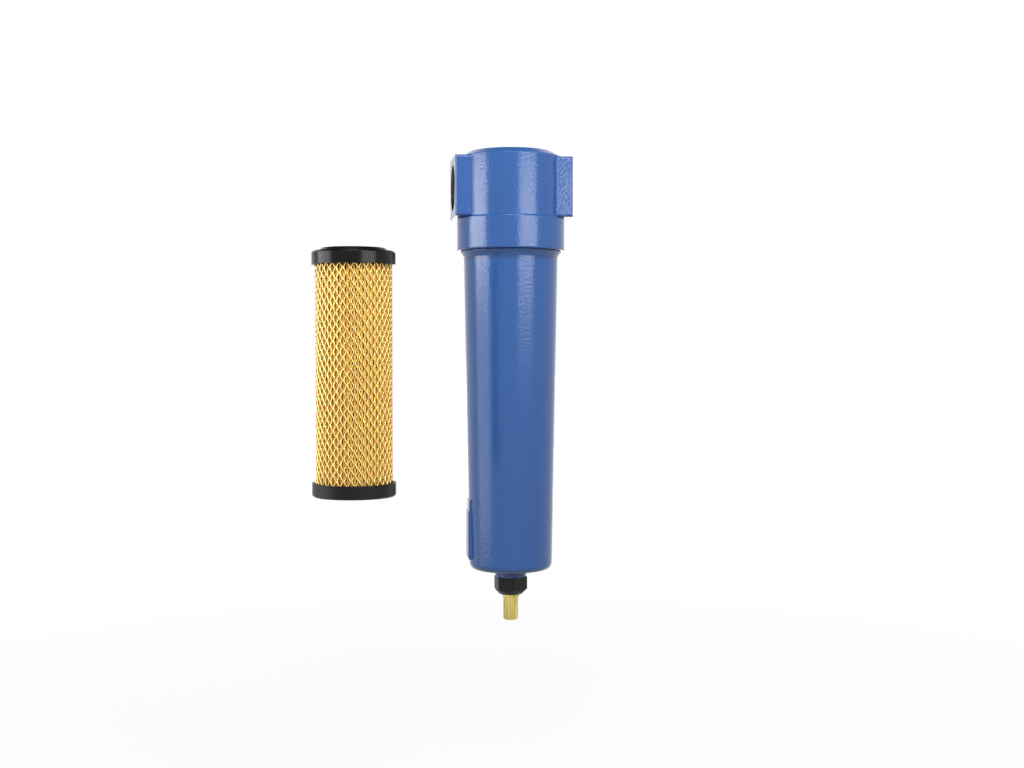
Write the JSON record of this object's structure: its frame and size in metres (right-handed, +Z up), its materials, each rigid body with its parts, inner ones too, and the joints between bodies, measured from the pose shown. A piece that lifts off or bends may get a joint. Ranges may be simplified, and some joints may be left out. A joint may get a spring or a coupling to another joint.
{
  "type": "compressed air filter",
  "caption": "In-line compressed air filter: blue die-cast head with threaded ports, screwed bowl with float drain, and its pleated mesh-sleeved element standing beside it.",
  "frame": {"origin": "centre of the inlet port's mouth", "axes": "+X along the flow from the inlet to the outlet port, +Z up along the housing's axis"},
  "size_m": [0.2725, 0.2737, 0.5038],
  "materials": {
    "blue_paint": "gloss",
    "brass": "satin",
    "seal_rubber": "matte",
    "ivory_plastic": "matte",
    "black_nut": "satin",
    "black_cap": "gloss",
    "bonding_resin": "matte",
    "filter_paper": "matte",
    "core_steel": "satin",
    "gold_mesh": "satin"
  },
  "bodies": {
    "head": {"head_casting": "blue_paint", "head_collar": "blue_paint", "gauge_port_plugs": "brass"},
    "bowl_seal": {"bowl_o_ring": "seal_rubber"},
    "bowl": {"bowl_neck": "blue_paint", "bowl": "blue_paint", "drain_gasket": "seal_rubber", "drain_body": "ivory_plastic", "valve_seat": "brass", "float_cage": "ivory_plastic", "cage_lid": "ivory_plastic", "drain_nut": "black_nut"},
    "float": {"drain_float": "ivory_plastic", "valve_needle": "seal_rubber"},
    "outlet": {"drain_outlet": "brass", "outlet_o_ring": "seal_rubber"},
    "element": {"element_top_cap": "black_cap", "element_o_ring": "seal_rubber", "top_bond": "bonding_resin", "pleated_media": "filter_paper", "inner_core": "core_steel", "outer_sleeve": "gold_mesh", "bottom_bond": "bonding_resin", "element_bottom_cap": "black_cap"}
  },
  "joints": [
    {"name": "bowl_drop", "type": "slide", "parent": "head", "child": "bowl_seal", "axis": [0, 0, -1], "range_m": [0, 0.02]},
    {"name": "bowl_turn", "type": "hinge", "parent": "bowl_seal", "child": "bowl", "pos_m": [0.0625, 0, -0.05], "axis": [0, 0, -1], "range_deg": [0, 1800]},
    {"name": "float_lift", "type": "slide", "parent": "bowl", "child": "float", "axis": [0, 0, 1], "range_m": [0, 0.007]},
    {"name": "outlet_turn", "type": "hinge", "parent": "bowl", "child": "outlet", "pos_m": [0.0625, 0, -0.45], "axis": [0, 0, -1], "range_deg": [0, 360]},
    {"name": "element_lift", "type": "slide", "parent": "head", "child": "element", "axis": [0, 0, 1], "range_m": [0, 0.12]}
  ],
  "couplings": [
    {"joint": "bowl_drop", "follows": "bowl_turn", "m_per_rad": 0.00063662}
  ]
}
